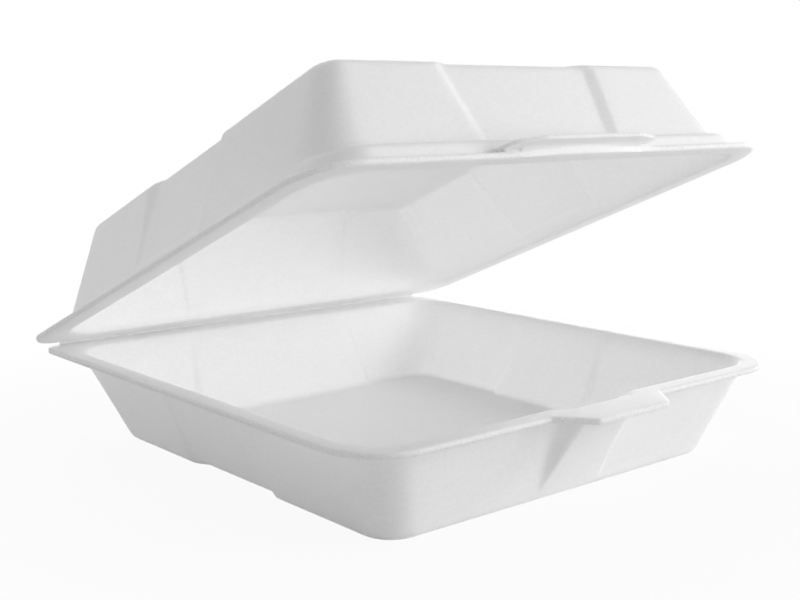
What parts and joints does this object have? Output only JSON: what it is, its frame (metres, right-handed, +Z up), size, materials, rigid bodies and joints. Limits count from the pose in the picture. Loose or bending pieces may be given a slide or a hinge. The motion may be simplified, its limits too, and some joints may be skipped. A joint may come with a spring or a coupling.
{
  "type": "foam clamshell container",
  "caption": "Square hinged take-away container of white foam sheet: shallow tray and deep lid with pressed wall panels, front locking tab and slot.",
  "frame": {"origin": "underside of the tray floor, on the centre line, midway between the hinge line and the front edge of the tray rim", "axes": "+Z up, -Y towards the front with the locking tab, +Y towards the hinge, +X to the right seen from the front"},
  "size_m": [0.252, 0.2528, 0.1684],
  "materials": {
    "foam": "satin skin of white extruded polystyrene foam sheet"
  },
  "bodies": {
    "tray": {"tray": "foam"},
    "lid": {"lid": "foam"}
  },
  "joints": [
    {"name": "lid_hinge", "type": "hinge", "parent": "tray", "child": "lid", "pos_m": [0, 0.1195, 0.04115], "axis": [-1, 0, 0], "range_deg": [-22.5, 147]}
  ]
}
